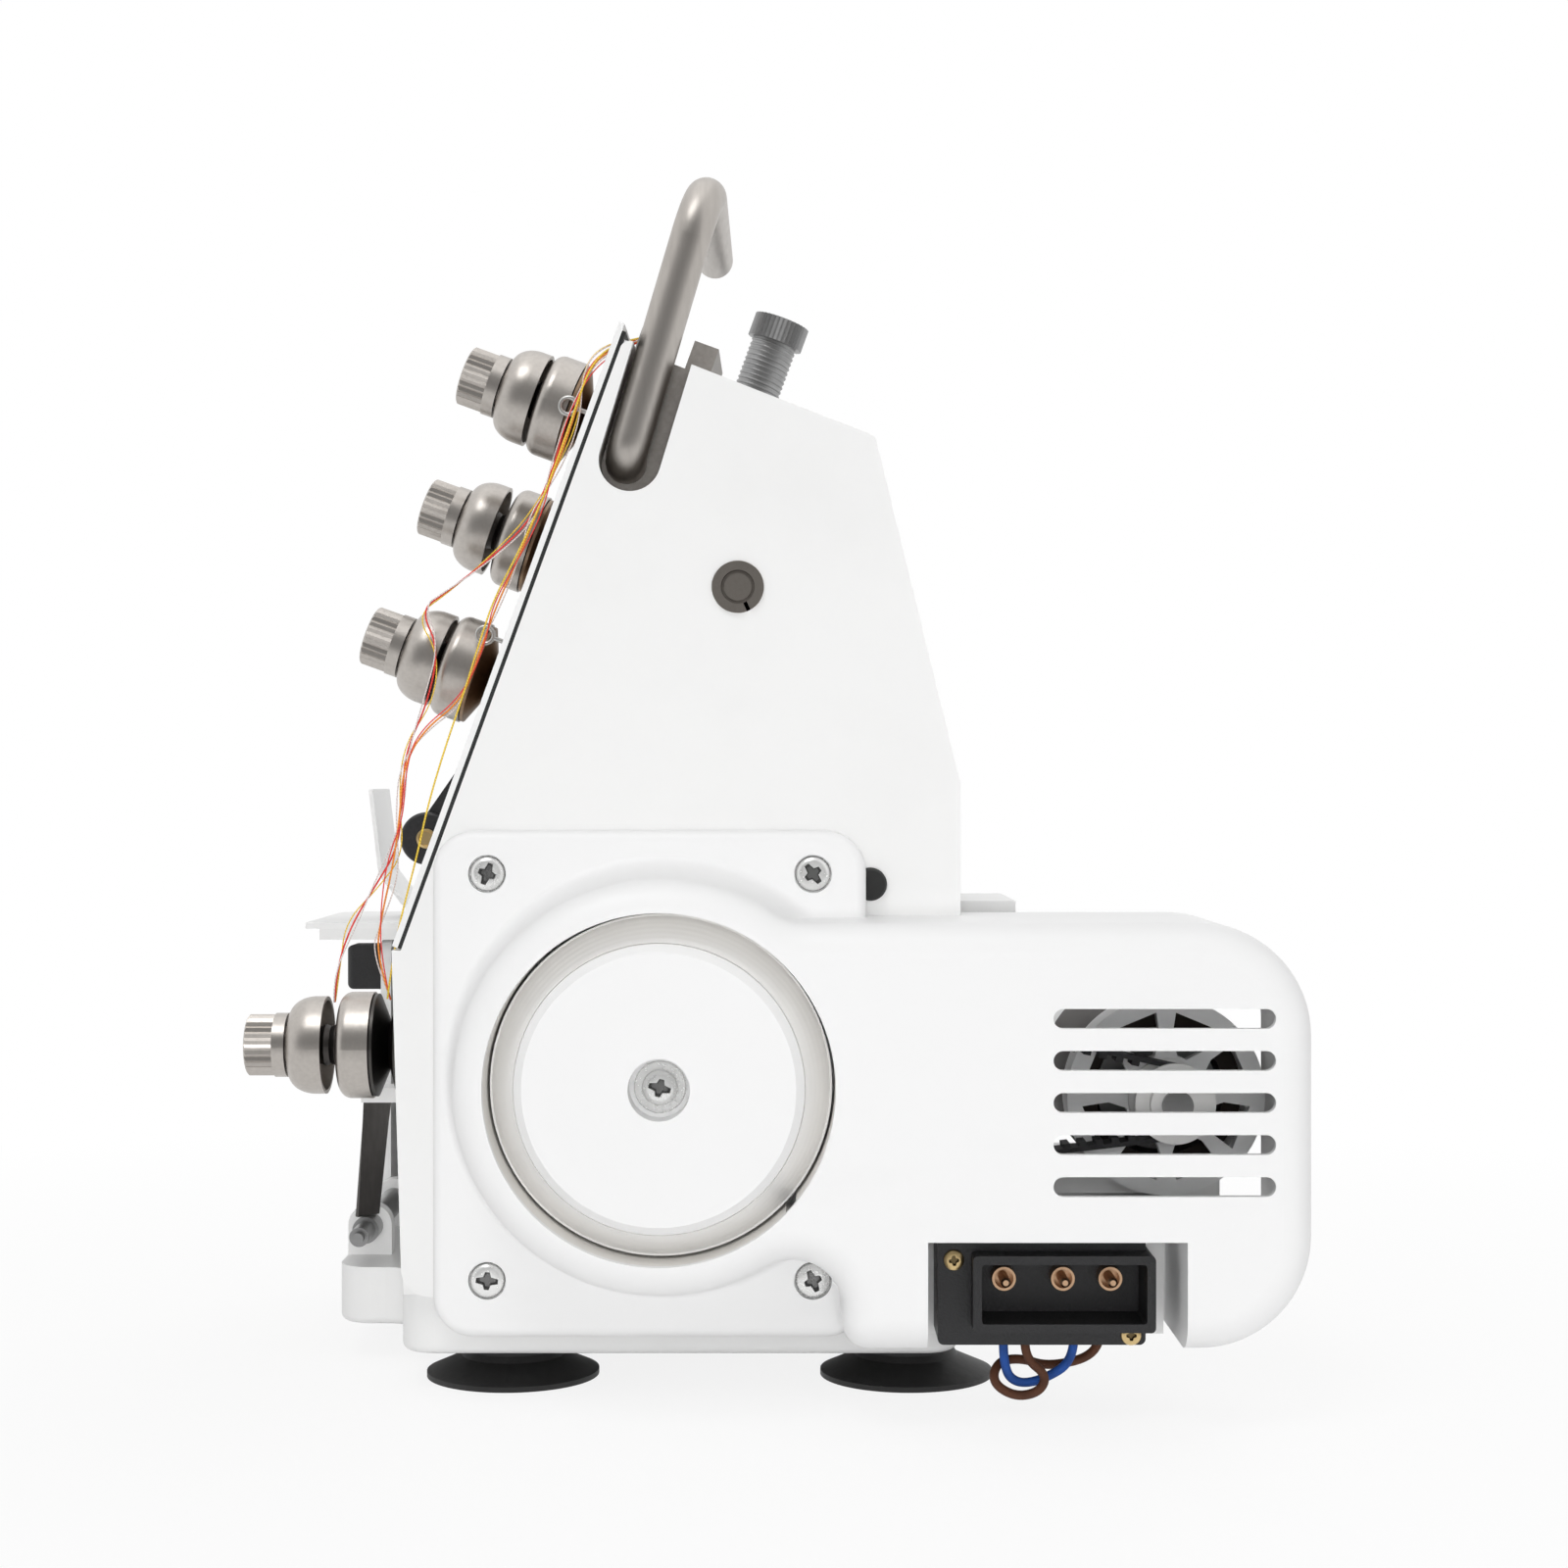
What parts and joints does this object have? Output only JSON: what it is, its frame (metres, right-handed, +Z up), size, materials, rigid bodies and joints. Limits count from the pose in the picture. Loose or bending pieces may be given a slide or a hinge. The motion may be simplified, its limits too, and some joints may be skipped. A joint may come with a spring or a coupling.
{
  "type": "serger overlock machine",
  "caption": "Overlock sewing machine with a slanted front of thread tension knobs, belt cover with handwheel, rear motor, mains inlet, top handle, needle head and looper bed on suction feet.",
  "frame": {"origin": "on the table under the middle of the machine's box", "axes": "+X is the machine's right side with the belt cover, -Y its front with the tension knobs, +Z up"},
  "size_m": [0.215, 0.2664, 0.3117],
  "materials": {
    "belt_rubber": "toothed belt rubber",
    "black_plastic": "matt black",
    "black_rubber": "matt black",
    "blue_wire": "blue insulation",
    "brass": "plain brass",
    "bright_steel": "bright plate",
    "brown_wire": "brown insulation",
    "copper_iron": "lacquered laminations",
    "dark_steel": "blued steel",
    "orange_thread": "spun thread",
    "pale_plastic": "pale grey",
    "red_thread": "spun thread",
    "satin_nickel": "satin nickel plate",
    "steel": "machined steel",
    "white_casting": "satin white enamel on a casting",
    "white_nylon": "matt white",
    "white_plastic": "smooth moulded white",
    "white_sheet": "satin white enamel",
    "yellow_thread": "spun thread"
  },
  "bodies": {
    "machine": {"base_plate": "white_casting", "suction_feet": "black_rubber", "body_frame": "white_casting", "right_side_plate": "white_sheet", "panel_gasket": "black_rubber", "front_panel": "white_sheet", "handle_pocket": "pale_plastic", "tension_studs": "steel", "tension_discs": "dark_steel", "tension_drums": "satin_nickel", "tension_springs": "steel", "belt_cover": "white_plastic", "belt_cover_screws": "bright_steel", "drive_belt": "belt_rubber", "motor_end_frames": "white_casting", "motor_field_core": "copper_iron", "motor_bracket": "white_casting", "inlet_block": "black_plastic", "inlet_pins": "brass", "shaft_retaining_ring": "bright_steel", "face_cover": "white_sheet", "finger_guard": "pale_plastic", "needle_plate": "bright_steel", "cloth_plate": "white_sheet", "hinge_rod": "steel", "cover_spring": "dark_steel", "thread_guides": "satin_nickel", "thread_red": "red_thread", "thread_orange": "orange_thread", "thread_yellow": "yellow_thread", "wire_brown": "brown_wire", "wire_blue": "blue_wire"},
    "drive": {"main_shaft": "steel", "belt_pulley": "black_plastic", "handwheel": "white_plastic", "handwheel_screw": "bright_steel"},
    "motor_rotor": {"armature": "steel", "motor_pulley": "white_nylon"},
    "handle": {"carry_handle": "satin_nickel"},
    "needle_shaft": {"needle_drive_shaft": "steel"},
    "needle_unit": {"needle_bar": "steel", "needle": "bright_steel"},
    "presser_unit": {"presser_bar": "steel", "presser_foot": "bright_steel"},
    "lifter": {"lifter_lever": "black_plastic"},
    "pressure_knob": {"pressure_screw": "satin_nickel"},
    "front_cover": {"looper_cover": "white_sheet", "cover_latch": "black_plastic"},
    "looper_upper": {"upper_looper": "steel"},
    "looper_lower": {"lower_looper": "steel"},
    "knife": {"trimming_knife": "steel"},
    "feed": {"feed_dog": "steel"},
    "dome_1": {"tension_dome_1": "satin_nickel"},
    "knob_1": {"tension_knob_1": "satin_nickel"},
    "dome_2": {"tension_dome_2": "satin_nickel"},
    "knob_2": {"tension_knob_2": "satin_nickel"},
    "dome_3": {"tension_dome_3": "satin_nickel"},
    "knob_3": {"tension_knob_3": "satin_nickel"},
    "dome_4": {"tension_dome_4": "satin_nickel"},
    "knob_4": {"tension_knob_4": "satin_nickel"}
  },
  "joints": [
    {"name": "main_shaft_turn", "type": "hinge", "parent": "machine", "child": "drive", "pos_m": [0, -0.0227, 0.082], "axis": [1, 0, 0], "continuous": true},
    {"name": "motor_turn", "type": "hinge", "parent": "machine", "child": "motor_rotor", "pos_m": [0, 0.1035, 0.0757], "axis": [1, 0, 0], "continuous": true},
    {"name": "handle_swing", "type": "hinge", "parent": "machine", "child": "handle", "pos_m": [0.0602, -0.0336, 0.237], "axis": [-1, 0, 0], "range_deg": [0, 8]},
    {"name": "needle_shaft_rock", "type": "hinge", "parent": "machine", "child": "needle_shaft", "pos_m": [0, -0.00468, 0.20441], "axis": [1, 0, 0], "range_deg": [-16, 16]},
    {"name": "needle_bar_slide", "type": "slide", "parent": "machine", "child": "needle_unit", "axis": [0, -0.342, -0.9397], "range_m": [-0.0098, 0.0098]},
    {"name": "lifter_turn", "type": "hinge", "parent": "machine", "child": "lifter", "pos_m": [-0.048, -0.07613, 0.17068], "axis": [-1, 0, 0], "range_deg": [0, 60]},
    {"name": "presser_lift", "type": "slide", "parent": "machine", "child": "presser_unit", "axis": [0, 0.342, 0.9397], "range_m": [0, 0.006]},
    {"name": "pressure_screw_turn", "type": "hinge", "parent": "machine", "child": "pressure_knob", "pos_m": [-0.062, -0.00582, 0.26005], "axis": [0, 0.342, 0.9397], "range_deg": [-180, 180]},
    {"name": "looper_cover_open", "type": "hinge", "parent": "machine", "child": "front_cover", "pos_m": [-0.07, -0.107, 0.033], "axis": [1, 0, 0], "range_deg": [0, 80]},
    {"name": "upper_looper_rock", "type": "hinge", "parent": "machine", "child": "looper_upper", "pos_m": [-0.086, -0.05, 0.052], "axis": [0, 1, 0], "range_deg": [-12, 12]},
    {"name": "lower_looper_rock", "type": "hinge", "parent": "machine", "child": "looper_lower", "pos_m": [-0.062, -0.05, 0.052], "axis": [0, 1, 0], "range_deg": [-12, 12]},
    {"name": "knife_slide", "type": "slide", "parent": "machine", "child": "knife", "axis": [0, 0, 1], "range_m": [-0.005, 0.003]},
    {"name": "feed_slide", "type": "slide", "parent": "machine", "child": "feed", "axis": [0, 1, 0], "range_m": [-0.0025, 0.0025]},
    {"name": "dome_1_travel", "type": "slide", "parent": "machine", "child": "dome_1", "axis": [0, -0.9397, 0.342], "range_m": [-0.00025, 0.00075]},
    {"name": "knob_1_turn", "type": "hinge", "parent": "dome_1", "child": "knob_1", "pos_m": [0.0245, -0.04206, 0.25111], "axis": [0, -0.9397, 0.342], "range_deg": [-90, 270]},
    {"name": "dome_2_travel", "type": "slide", "parent": "machine", "child": "dome_2", "axis": [0, -0.9397, 0.342], "range_m": [-0.00025, 0.00075]},
    {"name": "knob_2_turn", "type": "hinge", "parent": "dome_2", "child": "knob_2", "pos_m": [0.0015, -0.05417, 0.21784], "axis": [0, -0.9397, 0.342], "range_deg": [-90, 270]},
    {"name": "dome_3_travel", "type": "slide", "parent": "machine", "child": "dome_3", "axis": [0, -0.9397, 0.342], "range_m": [-0.00025, 0.00075]},
    {"name": "knob_3_turn", "type": "hinge", "parent": "dome_3", "child": "knob_3", "pos_m": [0.0255, -0.06747, 0.18129], "axis": [0, -0.9397, 0.342], "range_deg": [-90, 270]},
    {"name": "dome_4_travel", "type": "slide", "parent": "machine", "child": "dome_4", "axis": [0, -1, 0], "range_m": [-0.00025, 0.00075]},
    {"name": "knob_4_turn", "type": "hinge", "parent": "dome_4", "child": "knob_4", "pos_m": [0.0425, -0.0914, 0.0864], "axis": [0, -1, 0], "range_deg": [-90, 270]}
  ],
  "couplings": [
    {"joint": "motor_turn", "follows": "main_shaft_turn", "ratio": 3.75},
    {"joint": "needle_bar_slide", "follows": "needle_shaft_rock", "m_per_rad": 0.0346},
    {"joint": "lifter_turn", "follows": "presser_lift", "rad_per_m": 174.53},
    {"joint": "knob_1_turn", "follows": "dome_1_travel", "rad_per_m": 6283.2},
    {"joint": "knob_2_turn", "follows": "dome_2_travel", "rad_per_m": 6283.2},
    {"joint": "knob_3_turn", "follows": "dome_3_travel", "rad_per_m": 6283.2},
    {"joint": "knob_4_turn", "follows": "dome_4_travel", "rad_per_m": 6283.2}
  ]
}
